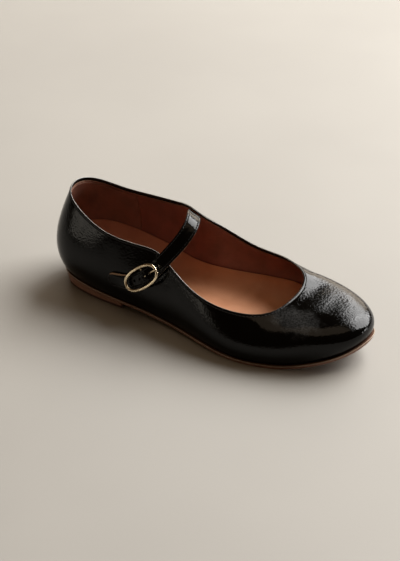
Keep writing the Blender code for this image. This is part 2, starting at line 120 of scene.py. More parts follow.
def copy_of(node, name):
    """A new piece from a CAD node's mesh, its triangles merged and paired into quads."""
    piece = bpy.data.objects.new(name, NODES[node].data.copy())
    piece.data.name = name
    bpy.context.scene.collection.objects.link(piece)
    with editing(piece):
        bpy.ops.mesh.select_all(action="SELECT")
        bpy.ops.mesh.remove_doubles(threshold=2e-6)
        bpy.ops.mesh.customdata_custom_splitnormals_clear()
        bpy.ops.mesh.mark_sharp(clear=True)
        bpy.ops.mesh.tris_convert_to_quads(
            face_threshold=math.radians(60), shape_threshold=math.radians(80), topology_influence=1.5
        )
    return piece


def flat_region(piece, seed, sharpness=60):
    """Faces reached from a seed face without crossing a sharp edge."""
    with editing(piece, "FACE", [seed]):
        bpy.ops.mesh.faces_select_linked_flat(sharpness=math.radians(sharpness))
    return picked(piece.data.polygons)


def delete_faces(piece, faces):
    with editing(piece, "FACE", faces):
        bpy.ops.mesh.delete(type="FACE")


def border(piece, faces):
    """The longest closed line of points round a region of faces, in order."""
    inside = np.zeros(len(piece.data.polygons), bool)
    inside[faces] = True
    count = {}
    for face in np.flatnonzero(inside):
        for key in piece.data.polygons[int(face)].edge_keys:
            count[key] = count.get(key, 0) + 1
    beside = {}
    for (a, b), times in count.items():
        if times == 1:
            beside.setdefault(a, []).append(b)
            beside.setdefault(b, []).append(a)
    loops = []
    while beside:
        start = next(iter(beside))
        loop, here, last = [start], start, None
        while True:
            ahead = [v for v in beside[here] if v != last]
            here, last = ahead[0], here
            if here == start:
                break
            loop.append(here)
        loops.append(loop)
        for v in loop:
            beside.pop(v)
    return max(loops, key=len)


def finish_modifiers(piece):
    pick(piece)
    for modifier in list(piece.modifiers):
        bpy.ops.object.modifier_apply(modifier=modifier.name)


def round_off(piece, levels, corners="ALL"):
    smooth = piece.modifiers.new("rounding", "SUBSURF")
    smooth.levels = smooth.render_levels = levels
    smooth.boundary_smooth = corners


def thicken(piece, thickness, offset=-1.0):
    wall = piece.modifiers.new("thickness", "SOLIDIFY")
    wall.thickness = thickness * MM
    wall.offset = offset
    wall.use_even_offset = True
    wall.thickness_clamp = 0.0
    return wall


def draw_out(piece, line, rows):
    """Extrudes the border that runs through line, once for each row of new places."""
    for row in rows:
        points = points_of(piece)
        ends = nearest(points, line)
        keys = set(zip(ends, np.roll(ends, -1)))
        keys |= {(b, a) for a, b in keys}
        edges = [i for i, edge in enumerate(piece.data.edges) if tuple(edge.vertices) in keys]
        with editing(piece, "EDGE", edges):
            bpy.ops.mesh.extrude_edges_move()
        new = picked(piece.data.vertices)
        points = points_of(piece)
        points[new] = row[nearest(line, points[new])]
        move_to(piece, points)
        line = row


def second_finish(piece):
    """Makes room for a second finish, which a modifier can give to some faces."""
    for _ in range(2):
        piece.data.materials.append(None)


def face_outwards(piece):
    with editing(piece):
        bpy.ops.mesh.select_all(action="SELECT")
        bpy.ops.mesh.remove_doubles(threshold=1e-6)
        bpy.ops.mesh.normals_make_consistent(inside=False)


def done(piece, finishes, replaces=()):
    """Smooths and paints a finished piece, hangs it under the shoe's body, and hides the CAD parts it
    replaces.
    """
    piece.data.shade_smooth()
    marks = np.zeros(len(piece.data.polygons), int)
    piece.data.polygons.foreach_get("material_index", marks)
    piece.data.materials.clear()
    for finish in finishes:
        piece.data.materials.append(finish)
    piece.data.polygons.foreach_set("material_index", np.minimum(marks, len(finishes) - 1))
    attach(piece, "root")
    if replaces:
        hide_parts(*replaces)


# ---- finishes

class Value:
    """A shader socket that adds, subtracts, multiplies and divides like a number."""

    def __init__(self, tree, socket):
        self.tree, self.socket = tree, socket

    def maths(self, operation, *values):
        node = self.tree.nodes.new("ShaderNodeMath")
        node.operation = operation
        for value, slot in zip(values, node.inputs):
            plug(self.tree, value, slot)
        return Value(self.tree, node.outputs[0])

    def __add__(self, other):
        return self.maths("ADD", self, other)

    def __sub__(self, other):
        return self.maths("SUBTRACT", self, other)

    def __rsub__(self, other):
        return self.maths("SUBTRACT", other, self)

    def __mul__(self, other):
        return self.maths("MULTIPLY", self, other)

    def __truediv__(self, other):
        return self.maths("DIVIDE", self, other)

    __radd__, __rmul__ = __add__, __mul__

    def size(self):
        return self.maths("ABSOLUTE", self)

    def between(self, low, high):
        """0 below low and 1 above high, with a soft step; low may be the greater."""
        node = self.tree.nodes.new("ShaderNodeMapRange")
        node.interpolation_type = "SMOOTHSTEP"
        for value, slot in zip((self, low, high), node.inputs):
            plug(self.tree, value, slot)
        return Value(self.tree, node.outputs[0])


def plug(tree, value, slot):
    if isinstance(value, Value):
        tree.links.new(value.socket, slot)
    elif value is not None:
        slot.default_value = (*value, 1.0) if isinstance(value, tuple) and slot.type == "RGBA" else value


class Finish:
    """A material put together from nodes; places and sizes in it are in millimetres."""

    def __init__(self, name):
        self.material = bpy.data.materials.new(name)
        self.material.use_nodes = True
        self.tree = self.material.node_tree
        self.tree.nodes.clear()
        here = self.node("ShaderNodeTexCoord", out="Object")
        self.place = self.node("ShaderNodeVectorMath", {"operation": "SCALE"}, {0: here, "Scale": 1 / MM})

    def node(self, kind, settings=None, values=None, out=0):
        node = self.tree.nodes.new(kind)
        for name, setting in (settings or {}).items():
            setattr(node, name, setting)
        for name, value in (values or {}).items():
            plug(self.tree, value, node.inputs[name])
        return Value(self.tree, node.outputs[out])

    def stretched(self, scale):
        return self.node("ShaderNodeMapping", None, {"Vector": self.place, "Scale": scale})

    def noise(self, size, detail=2.0, roughness=0.5, distortion=0.0, place=None):
        return self.node("ShaderNodeTexNoise", None, {
            "Vector": place or self.place, "Scale": 1 / size, "Detail": detail,
            "Roughness": roughness, "Distortion": distortion,
        })

    def cells(self, size, feature="SMOOTH_F1", place=None):
        return self.node("ShaderNodeTexVoronoi", {"feature": feature}, {
            "Vector": place or self.place, "Scale": 1 / size,
        })

    def coordinate(self, axis):
        return self.node("ShaderNodeSeparateXYZ", None, {"Vector": self.place}, out=axis)

    def from_oval(self, x, y, long, wide):
        """0 at the middle of an oval on the plan, 1 on its line, and more outside it."""
        along, across = (self.coordinate("X") - x) / long, (self.coordinate("Y") - y) / wide
        return along * along + across * across

    def blend(self, share, one, other):
        return self.node("ShaderNodeMix", {"data_type": "RGBA"}, {0: share, 6: one, 7: other}, out=2)

    def worn_edges(self, radius):
        """1 along a piece's sharp edges, fading over radius."""
        soft = self.node("ShaderNodeBevel", {"samples": 4}, {"Radius": radius * MM})
        flat = self.node("ShaderNodeNewGeometry", out="Normal")
        alike = self.node(
            "ShaderNodeVectorMath", {"operation": "DOT_PRODUCT"}, {0: soft, 1: flat}, out="Value"
        )
        return (1 - alike).between(0.01, 0.12)

    def relief(self, height, depth):
        """A normal from a height of 0 to 1 that stands for depth millimetres."""
        return self.node("ShaderNodeBump", None, {
            "Strength": 1.0, "Distance": depth * MM, "Height": height,
        })

    def surface(self, **values):
        shader = self.tree.nodes.new("ShaderNodeBsdfPrincipled")
        for name, value in values.items():
            plug(self.tree, value, shader.inputs[name.replace("_", " ")])
        end = self.tree.nodes.new("ShaderNodeOutputMaterial")
        self.tree.links.new(shader.outputs[0], end.inputs["Surface"])
        return self.material


def patent_finish(name, grain_depth, grain_size=1.25):
    """Black crinkled patent leather: a wet gloss over a pebbled grain that comes and goes."""
    finish = Finish(name)
    drift = finish.noise(26, detail=2.0)
    flow = finish.noise(3.2, detail=2.0, distortion=0.8)
    warp = finish.node("ShaderNodeTexNoise", None, {
        "Vector": finish.place, "Scale": 0.5, "Detail": 2.0}, out="Color")
    bent = finish.node("ShaderNodeVectorMath", {"operation": "MULTIPLY_ADD"}, {
        0: warp, 1: (1.6, 1.6, 1.6), 2: finish.place})
    pebbles = finish.cells(grain_size, place=bent)
    fine = finish.noise(grain_size * 0.45, detail=2.0, roughness=0.6)
    strong = drift.between(0.36, 0.62)
    height = pebbles * (0.45 + 0.8 * strong) + 0.35 * fine * strong + 0.6 * flow
    dust = finish.noise(0.9, detail=4.0, roughness=0.7).between(0.62, 0.8) * finish.noise(9).between(0.5, 0.7)
    scuff = finish.noise(1.0, place=finish.stretched((0.12, 1.4, 0.5)), detail=3.0).between(0.66, 0.74)
    colour = finish.blend(dust * 0.35 + scuff * 0.15, (0.00054, 0.00048, 0.00048), (0.011, 0.0096, 0.0084))
    cooler = finish.blend(0.35, colour, (0.0012, 0.0016, 0.0012))
    colour = finish.blend(drift.between(0.3, 0.7), colour, cooler)
    from_vamp = finish.from_oval(82, -19, 23, 14)      # painted reflection: a grey haze painted on the vamp here, where the gloss is also made rougher
    haze_and_painted_reflection = (from_vamp + 1.3 * finish.noise(6, detail=3.0)).between(1.6, 0.6)
    haze_and_painted_reflection = haze_and_painted_reflection * (0.25 + 0.75 * finish.noise(1.2, detail=4.0, roughness=0.7).between(0.36, 0.66))
    # painted reflection: the haze colour stands for the dim reflection on the vamp
    colour = finish.blend(haze_and_painted_reflection, colour, (0.029, 0.029, 0.028))
    gloss = 0.07 + 0.05 * strong + 0.1 * dust + 0.08 * scuff + 0.12 * haze_and_painted_reflection
    return finish.surface(
        Base_Color=colour, Roughness=gloss, Specular_IOR_Level=0.2,
        Normal=finish.relief(height, grain_depth),
    )


def lining_finish(name, colour, dark, light):
    """Smooth dyed leather with fine pores, soft blotches and a rubbed sheen."""
    finish = Finish(name)
    blotch = finish.noise(17, detail=3.0, roughness=0.55)
    pores = finish.cells(0.55, "F1")
    wrinkle = finish.noise(2.4, detail=3.0, place=finish.stretched((0.5, 0.5, 1.0)))
    fleck = finish.noise(0.8, detail=3.0, roughness=0.7).between(0.55, 0.75)
    shade = finish.blend(blotch.between(0.3, 0.7), dark, colour)
    shade = finish.blend(fleck * 0.3, shade, light)
    shade = finish.blend(pores.between(0.25, 0.05) * 0.35, shade, dark)
    rubbed = finish.noise(11, detail=2.0).between(0.45, 0.7)
    return finish.surface(
        Base_Color=shade, Roughness=0.5 - 0.12 * rubbed + 0.1 * fleck,
        Normal=finish.relief(0.6 * pores + 0.8 * wrinkle, 0.09),
    )


def sock_finish():
    """Tan sock leather, darker where the heel and the ball of the foot press on it, and darkened towards the
    heel by painted shade.
    """
    finish = Finish("tan_sock_leather")

    def pressed(*oval):
        return (finish.from_oval(*oval) + 0.5 * finish.noise(9, detail=3.0)).between(1.4, 0.3)

    tread = pressed(-86, -2, 26, 19) + pressed(58, -4, 36, 30)
    pores = finish.cells(0.5, "F1")
    blotch = finish.noise(21, detail=3.0)
    wrinkle = finish.noise(2.0, detail=3.0, roughness=0.6)
    shade = finish.blend(blotch.between(0.3, 0.7), (0.49, 0.215, 0.105), (0.58, 0.275, 0.145))
    painted_shade_towards_heel = finish.coordinate("X").between(-6, -70)
    # painted shade: the back of the sock, which the walls shade, is darkened
    shade = finish.blend(painted_shade_towards_heel * 0.55, shade, (0.16, 0.05, 0.031))
    shade = finish.blend(tread * 0.28, shade, (0.14, 0.06, 0.03))
    shade = finish.blend(pores.between(0.22, 0.05) * 0.3, shade, (0.12, 0.048, 0.024))
    return finish.surface(
        Base_Color=shade, Roughness=0.52 - 0.12 * tread,
        Normal=finish.relief(0.5 * pores + 0.7 * wrinkle, 0.08),
    )


def sole_finish():
    """Cut sole leather: a tan, burnished edge, and a scuffed tread underneath."""
    finish = Finish("sole_leather")
    fibre = finish.noise(1.2, detail=4.0, roughness=0.65, place=finish.stretched((0.25, 0.25, 2.5)))
    blotch = finish.noise(14, detail=3.0)
    height = finish.coordinate("Z")
    facing = finish.node("ShaderNodeSeparateXYZ", None, {
        "Vector": finish.node("ShaderNodeNewGeometry", out="Normal")}, out="Z")
    tread = facing.between(-0.5, -0.9)
    rubbed = tread * (3.0 - height).between(0.0, 3.0) * finish.noise(6, detail=4.0).between(0.35, 0.6)
    shade = finish.blend(blotch.between(0.3, 0.7), (0.17, 0.074, 0.045), (0.24, 0.115, 0.07))
    shade = finish.blend(fibre.between(0.45, 0.7) * 0.5, shade, (0.25, 0.14, 0.09))
    shade = finish.blend(rubbed * 0.6, shade, (0.042, 0.027, 0.019))
    shade = finish.blend(finish.worn_edges(0.5) * 0.5, shade, (0.3, 0.18, 0.11))
    return finish.surface(
        Base_Color=shade, Roughness=0.42 + 0.25 * tread + 0.1 * fibre,
        Normal=finish.relief(fibre, 0.12),
    )


TOP_PIECE_THICK, LIFT_THICK = 2.4, 2.3


def heel_finish():
    """A stacked leather heel: layers with a dark line between each, over a rubber top piece."""
    finish = Finish("stacked_heel_leather")
    height = finish.coordinate("Z") + 0.25 * finish.noise(13)
    lift = (height - TOP_PIECE_THICK) / LIFT_THICK
    line = (lift - lift.maths("ROUND", lift)).size()
    groove = line.between(0.1, 0.02)
    rubber = height.between(TOP_PIECE_THICK + 0.15, TOP_PIECE_THICK - 0.05)
    fibre = finish.noise(1.1, detail=4.0, roughness=0.6, place=finish.stretched((0.3, 0.3, 2.2)))
    layer = finish.noise(3.0, place=finish.stretched((0.02, 0.02, 1.3)))
    shade = finish.blend(layer.between(0.35, 0.65), (0.26, 0.115, 0.07), (0.36, 0.175, 0.11))
    shade = finish.blend(fibre.between(0.5, 0.72) * 0.4, shade, (0.22, 0.1, 0.06))
    shade = finish.blend(groove * 0.4, shade, (0.012, 0.006, 0.0042))
    shade = finish.blend(finish.worn_edges(0.6) * 0.45, shade, (0.3, 0.16, 0.1))
    shade = finish.blend(rubber, shade, finish.blend(fibre, (0.07, 0.034, 0.022), (0.11, 0.056, 0.036)))
    return finish.surface(
        Base_Color=shade, Roughness=0.4 + 0.25 * rubber + 0.1 * fibre,
        Normal=finish.relief(0.5 * fibre - groove, 0.14),
    )


def raw_edge_finish():
    """The lining's cut edge: pale tan fibres, dark where the dye has run in."""
    finish = Finish("raw_lining_edge")
    fibre = finish.noise(0.7, detail=4.0, roughness=0.7)
    stain = finish.noise(5, detail=3.0)
    shade = finish.blend(stain.between(0.35, 0.65), (0.14, 0.054, 0.027), (0.25, 0.13, 0.072))
    shade = finish.blend(fibre.between(0.5, 0.75) * 0.5, shade, (0.33, 0.2, 0.12))
    return finish.surface(Base_Color=shade, Roughness=0.7 + 0.1 * fibre, Normal=finish.relief(fibre, 0.15))


def gilt_finish():
    """Champagne gilt metal: polished, with hairline scratches and a duller film in patches."""
    finish = Finish("champagne_gilt")
    hairline = finish.noise(0.5, detail=4.0, roughness=0.7, place=finish.stretched((0.15, 1.5, 1.5)))
    film = finish.noise(3.5, detail=3.0).between(0.45, 0.7)
    shade = finish.blend(film * 0.5, (0.86, 0.72, 0.5), (0.62, 0.49, 0.31))
    shade = finish.blend(hairline.between(0.55, 0.75) * 0.25, shade, (0.92, 0.84, 0.66))
    return finish.surface(
        Base_Color=shade, Metallic=1.0, Roughness=0.17 + 0.14 * film + 0.08 * hairline,
        Normal=finish.relief(hairline, 0.008),
    )


def thread_finish(name, colour, light):
    """Waxed thread: two plies twisted together, with a little fuzz."""
    finish = Finish(name)
    ply = finish.node("ShaderNodeTexWave", {"bands_direction": "DIAGONAL"}, {
        "Vector": finish.place, "Scale": 0.7, "Distortion": 1.5})
    fuzz = finish.noise(0.4, detail=3.0, roughness=0.7)
    shade = finish.blend(ply * 0.5 + fuzz * 0.3, colour, light)
    return finish.surface(
        Base_Color=shade, Roughness=0.5 + 0.2 * fuzz, Normal=finish.relief(ply + 0.5 * fuzz, 0.06)
    )


def floor_finish():
    """A matt pale floor, a little uneven in tone."""
    finish = Finish("pale_floor")
    cloud = finish.noise(260, detail=3.0)
    grain = finish.noise(1.8, detail=3.0, roughness=0.6)
    shade = finish.blend(cloud.between(0.3, 0.7), (0.315, 0.298, 0.27), (0.34, 0.322, 0.292))
    shade = finish.blend(grain * 0.06, shade, (0.3, 0.28, 0.24))
    return finish.surface(Base_Color=shade, Roughness=0.6 + 0.1 * grain, Normal=finish.relief(grain, 0.03))


def painted_crest_highlight_finish():
    """The topline's crest: a pale colour painted on as the highlight along its rolled edge, in patches, with
    darker specks.
    """
    finish = Finish("crest_painted_highlight")
    patch = finish.noise(7, detail=3.0, roughness=0.6).between(0.3, 0.65)
    speck = finish.noise(0.8, detail=3.0, roughness=0.7)
    shade = finish.blend(patch, (0.12, 0.11, 0.099), (0.3, 0.28, 0.25))
    shade = finish.blend(speck.between(0.6, 0.8) * 0.3, shade, (0.036, 0.033, 0.03))
    return finish.surface(Base_Color=shade, Roughness=0.22 + 0.2 * speck, Normal=finish.relief(speck, 0.05))


PATENT = patent_finish("black_patent", 0.095, grain_size=1.3)
STRAP_PATENT = patent_finish("strap_patent", 0.13, grain_size=1.4)
LINING = lining_finish("chestnut_lining", (0.21, 0.062, 0.042), (0.14, 0.042, 0.028), (0.28, 0.11, 0.072))
COUNTER = lining_finish("counter_lining", (0.19, 0.074, 0.048), (0.12, 0.05, 0.033), (0.26, 0.125, 0.078))
# the strap's tan underside; also painted on the tail's upward-facing edge as a painted highlight
BACKING_AND_TAIL_HIGHLIGHT = lining_finish("strap_backing_and_tail_highlight", (0.38, 0.25, 0.16), (0.28, 0.17, 0.1), (0.5, 0.36, 0.25))
SOCK = sock_finish()
SOLE = sole_finish()
# the sole bead's pale colour is a painted highlight for the lit top lip of the sole's edge
WELT_PAINTED_HIGHLIGHT = lining_finish("sole_bead_painted_highlight", (0.33, 0.24, 0.17), (0.25, 0.17, 0.11), (0.42, 0.34, 0.25))
HEEL = heel_finish()
RAW_EDGE = raw_edge_finish()
GILT = gilt_finish()
BLACK_THREAD = thread_finish("black_thread", (0.0048, 0.0048, 0.0048), (0.018, 0.017, 0.016))
TAN_THREAD = thread_finish("tan_thread", (0.12, 0.054, 0.027), (0.25, 0.14, 0.084))
# pale crest colour: a painted highlight along the topline's rolled edge
CREST_PAINTED_HIGHLIGHT = painted_crest_highlight_finish()
FLOOR = floor_finish()


def repaint(node, material):
    """Gives a CAD node that stays in view its finish."""
    for slot in NODES[node].material_slots:
        slot.link = "OBJECT"
        slot.material = material


repaint("outsole", SOLE)
repaint("heel", HEEL)


# ---- lines measured on the CAD upper

def measure_wall():
    """The upper's rings of points, from the rim down, for its outer and inner surfaces."""
    wall = copy_of("upper", "wall_gauge")
    points = points_of(wall)
    crest = flat_region(wall, int(face_centres(wall)[:, 2].argmax()))
    ring = border(wall, crest)
    beside = {}
    for edge in wall.data.edges:
        a, b = edge.vertices
        beside.setdefault(a, set()).add(b)
        beside.setdefault(b, set()).add(a)
    on_crest = {v for face in crest for v in wall.data.polygons[int(face)].vertices}
    other = [next(iter((beside[v] & on_crest) - set(ring))) for v in ring]
    if np.ptp(points[ring], axis=0)[1] < np.ptp(points[other], axis=0)[1]:
        ring, other = other, ring
    sides = []
    for first, second in ((ring, other), (other, ring)):
        rings, last = [first], second
        while True:
            taken = set(rings[-1]) | set(last)
            ahead = [beside[v] - taken for v in rings[-1]]
            if any(len(a) != 1 for a in ahead):
                break
            last = rings[-1]
            rings.append([next(iter(a)) for a in ahead])
            if len(rings) * 2 * len(ring) >= len(points):
                break
        sides.append(points[np.array(rings)])
    bpy.data.objects.remove(wall)
    start = int(sides[0][-1][:, 0].argmin())
    sides = [np.roll(side, -start, axis=1) for side in sides]
    if sides[0][-1][10, 1] > 0:      # from the heel's back round the lateral side first
        sides = [np.roll(side[:, ::-1], 1, axis=1) for side in sides]
    return sides


OUTER, INNER = measure_wall()
ROUND = OUTER.shape[1]
DOWN_OUTER = unit(OUTER[1] - OUTER[0])
DOWN_INNER = unit(INNER[1] - INNER[0])
OUT = unit(OUTER[0] - INNER[0])
FOOT_OUT = unit((OUTER[-1] - INNER[-1]) * (1, 1, 0))
UP = np.array([0.0, 0.0, 1.0])


# ---- the upper: patent skin with its folded topline, and the lining inside it

FOLD_THICK = 0.4
LASTED_EDGE = ((0.5, 0.12), (2.5, 0.12))     # the skin's foot, turned in under the lining
# The topline's section, as places down from the rim and out from the skin's face: a shallow
# channel for the outside stitches, the rounded crest, and the turned-in edge behind the lining.
TOPLINE = (
    (2.9, 0.0), (2.45, 0.0), (2.2, -0.08), (2.0, -0.22), (1.8, -0.06), (1.5, 0.12), (0.9, 0.2),
    (0.35, 0.08), (-0.02, -0.3), (-0.08, -0.62), (0.12, -1.0), (0.6, -1.2), (1.3, -1.12), (3.4, -1.1),
)
CREST_ROWS = (8, 9)       # the rows of TOPLINE between which the crest's painted highlight lies
LINING_TOP = 2.3
LINING_THICK = 0.5


def rim_rows(section):
    return [OUTER[0] + (DOWN_OUTER * down + OUT * out) * MM for down, out in section]


def faces_touching(piece, places):
    """Faces with a corner at any of the places."""
    points = points_of(piece)
    near = set(nearest(points, places))
    return [i for i, face in enumerate(piece.data.polygons) if near & set(face.vertices)]


# Soft creases pressed into the skin, in shoe millimetres: from, to, depth (a ridge if negative)
# and half width.
Crease = collections.namedtuple("Crease", "start end depth width")
CREASES = (
    Crease((76, -22), (80, 20), 0.34, 5.0),      # across the vamp, ahead of the throat
    Crease((89, -24), (92, 16), -0.22, 6.0),
    Crease((100, -12), (97, 18), 0.2, 5.0),
    Crease((55, -33), (66, -43), 0.38, 4.0),     # from the throat's corners down to the ball
    Crease((47, -35), (50, -46), 0.3, 3.5),
    Crease((58, 28), (66, 42), 0.35, 4.0),
    Crease((46, 31), (48, 45), 0.28, 3.5),
    Crease((-62, -31), (-96, -34), 0.32, 6.0),   # the quarter, slack behind the buckle
    Crease((-12, -31), (10, -40), 0.3, 6.0),     # the waist, lateral then medial
    Crease((-2, 27), (14, 36), 0.28, 6.0),
)
CREASE_FROM_RIM, CREASE_FROM_FLOOR, CREASE_FADE = 4, 5, 8


def press_creases(piece):
    """Moves a skin's points in or out by the creases near them, except by the rim and the foot."""
    points = points_of(piece)
    normals = read(piece.data.vertices, "normal")
    plan = points[:, :2] / MM
    push = np.zeros(len(points))
    for crease in CREASES:
        start, way = np.array(crease.start, float), np.subtract(crease.end, crease.start)
        share = ((plan - start) @ way) / (way @ way)
        off = np.linalg.norm(plan - start - np.clip(share, 0, 1)[:, None] * way, axis=1)
        push += crease.depth * np.exp(-((off / crease.width) ** 2))
    below_rim = np.linalg.norm(points[:, None] - OUTER[0][None, ::2], axis=2).min(axis=1) / MM
    for far in (below_rim - CREASE_FROM_RIM, points[:, 2] / MM - CREASE_FROM_FLOOR):
        push *= np.clip(far / CREASE_FADE, 0, 1)
    move_to(piece, points - normals * push[:, None] * MM)


def make_patent_upper():
    upper = copy_of("upper", "patent_upper")
    skin = flat_region(upper, int(face_centres(upper)[:, 1].argmin()))
    top_band = set(faces_touching(upper, OUTER[0]))
    delete_faces(upper, [i for i in range(len(upper.data.polygons)) if i not in set(skin) - top_band])
    second_finish(upper)
    section = rim_rows(TOPLINE)
    first, last = CREST_ROWS
    draw_out(upper, OUTER[1], section[:first + 1])
    start = len(upper.data.polygons)
    draw_out(upper, section[first], section[first + 1:last + 1])
    end = len(upper.data.polygons)
    draw_out(upper, section[last], section[last + 1:])
    # painted highlight: the crest rows get the second finish, a pale colour standing for the topline's glint
    crest = np.zeros(len(upper.data.polygons), int)
    crest[start:end] = 1
    upper.data.polygons.foreach_set("material_index", crest)
    foot = [OUTER[-1] - FOOT_OUT * inset * MM - UP * drop * MM for inset, drop in LASTED_EDGE]
    draw_out(upper, OUTER[-1], foot)
    round_off(upper, 1)
    finish_modifiers(upper)
    press_creases(upper)
    thicken(upper, FOLD_THICK)
    round_off(upper, 1)
    finish_modifiers(upper)
    return upper


def inner_face(name, top):
    """The upper's inner face alone, drawn up to a line that lies top below the rim."""
    face = copy_of("upper", name)
    crest = flat_region(face, int(face_centres(face)[:, 2].argmax()))
    outside = flat_region(face, int(face_centres(face)[:, 1].argmin()))
    ends = set(faces_touching(face, INNER[0])) | set(faces_touching(face, OUTER[-1]))
    delete_faces(face, sorted(set(outside) | set(crest) | ends))
    draw_out(face, INNER[1], [INNER[0] + DOWN_INNER * top * MM])
    return face


def make_lining():
    lining = inner_face("lining", LINING_TOP)
    second_finish(lining)
    thicken(lining, LINING_THICK).material_offset_rim = 1
    round_off(lining, 2)
    finish_modifiers(lining)
    return lining


COUNTER_THICK = 0.35
COUNTER_TOP = LINING_TOP + 2.0
COUNTER_ENDS = (-80.0, -66.0)      # where the counter lining ends, medial and lateral side


def make_counter_lining():
    """The heel's own pocket of lining, lapped over the quarter lining, with cut front edges."""
    counter = inner_face("counter_lining", COUNTER_TOP)
    with editing(counter):
        for x in COUNTER_ENDS:
            bpy.ops.mesh.select_all(action="SELECT")
            bpy.ops.mesh.bisect(plane_co=(x * MM, 0, 0), plane_no=(1, 0, 0))
    centres = face_centres(counter) / MM
    end = np.where(centres[:, 1] > 0, *COUNTER_ENDS)
    delete_faces(counter, np.flatnonzero(centres[:, 0] > end))
    second_finish(counter)
    round_off(counter, 2, corners="PRESERVE_CORNERS")
    thicken(counter, COUNTER_THICK, offset=1.0).material_offset_rim = 1
    finish_modifiers(counter)
    return counter


done(make_patent_upper(), [PATENT, CREST_PAINTED_HIGHLIGHT], ["upper"])
done(make_lining(), [LINING, RAW_EDGE])
done(make_counter_lining(), [COUNTER, RAW_EDGE])


# ---- stitching

STITCH_DIP = 0.12         # a stitch's ends sink this far into the leather
TOPLINE_STITCH, LINING_STITCH = (2.0, 0.12), (LINING_TOP + 1.0, 0.08)      # down from the rim, and sunk
BACK_ROW, BACK_PROUD = 1.5, 0.06      # a back row's distance from the middle, and its stand-off


def even_steps(path, pitch, closed=False):
    """Places a pitch apart along a path, and where each falls between the path's points."""
    path = np.asarray(path, float)
    if closed:
        path = np.vstack([path, path[:1]])
    run = np.concatenate([[0], np.cumsum(np.linalg.norm(np.diff(path, axis=0), axis=1))])
    count = max(round(run[-1] / (pitch * MM)), 1)
    at = (np.arange(count) + 0.5) * run[-1] / count
    share = np.interp(at, run, np.arange(len(path)))
    return np.column_stack([np.interp(at, run, path[:, i]) for i in range(3)]), share


def sampled(values, share):
    """Values of a closed or open row, read at the shares even_steps gives."""
    low = np.floor(share).astype(int)
    part = (share - low)[:, None]
    return values[low % len(values)] * (1 - part) + values[(low + 1) % len(values)] * part


def stitch_row(name, path, out, finish, slot, pitch=2.6, long=1.9, thick=0.34, closed=False):
    """A row of stitches along a path, each a rounded rod of thread with its ends sunk in."""
    bpy.ops.mesh.primitive_uv_sphere_add(segments=6, ring_count=6, radius=1)
    stitch = bpy.context.object
    thread = points_of(stitch)[:, [2, 0, 1]] * (long / 2, thick / 2, thick / 2)
    thread[:, 2] -= STITCH_DIP * (thread[:, 0] / (long / 2)) ** 4
    faces = [tuple(face.vertices) for face in stitch.data.polygons]
    bpy.data.objects.remove(stitch)
    middles, share = even_steps(path, pitch, closed)
    ups = unit(sampled(np.asarray(out, float), share))
    if closed:
        ends = np.roll(middles, -1, axis=0) - np.roll(middles, 1, axis=0)
    else:
        ends = np.gradient(middles, axis=0)
    ways = unit(ends - ups * (ends * ups).sum(axis=1)[:, None])
    sides = np.cross(ups, ways)
    axes = np.stack([ways, sides, ups], axis=1) * MM
    points = (thread[None] @ axes + middles[:, None]).reshape(-1, 3)
    firsts = [i * len(thread) for i in range(len(middles))]
    mesh = bpy.data.meshes.new(name)
    mesh.from_pydata(points, [], [tuple(first + v for v in face) for first in firsts for face in faces])
    row = bpy.data.objects.new(name, mesh)
    bpy.context.scene.collection.objects.link(row)
    done(row, [finish])


down, sunk = TOPLINE_STITCH
stitch_row(
    "topline_stitches", OUTER[0] + (DOWN_OUTER * down - OUT * sunk) * MM, OUT,
    BLACK_THREAD, "patent_leather", closed=True,
)
down, sunk = LINING_STITCH
stitch_row(
    "lining_stitches", INNER[0] + (DOWN_INNER * down - OUT * sunk) * MM, -OUT,
    TAN_THREAD, "lining_leather", pitch=2.9, long=2.0, thick=0.42, closed=True,
)
for name, across in (("lateral", -BACK_ROW), ("medial", BACK_ROW)):
    back = OUTER[1:-1, 0] + np.array([0, across, 0]) * MM + OUT[0] * BACK_PROUD * MM
    stitch_row(
        "back_stitches_" + name, back, np.repeat(OUT[:1], len(back), axis=0),
        BLACK_THREAD, "patent_leather",
    )


# ---- the sock: a padded insole whose edges cup up the walls

SOCK_GAP = 0.45           # clearance between the sock and the lining
SOCK_UNDERCUT = 10        # a section's negative rise is a share of this
SOCK_LEANS_OVER = 12      # half the width over which the climb changes from lateral to medial
WALL_SEARCH = 8           # the wall is looked for from this far inside the sock's edge
# How far the sock's edge climbs the wall at the medial side: high round the heel, lower along the
# arch, higher at the ball and low in the toe.
CupPlace = collections.namedtuple("CupPlace", "name from_heel rise")
CUP = (
    CupPlace("heel", 0, 15), CupPlace("heel_front", 60, 13), CupPlace("arch_back", 90, 9.5),
    CupPlace("arch_front", 130, 9.5), CupPlace("ball", 170, 12), CupPlace("toe", 250, 4),
)
CUP_LATERAL_SHARE = 0.75


def inner_wall():
    quads = []
    rows = len(INNER)
    for r in range(rows - 1):
        for c in range(ROUND):
            d = (c + 1) % ROUND
            quads.append((r * ROUND + c, r * ROUND + d, (r + 1) * ROUND + d, (r + 1) * ROUND + c))
    return BVHTree.FromPolygons([tuple(p) for p in INNER.reshape(-1, 3)], quads)


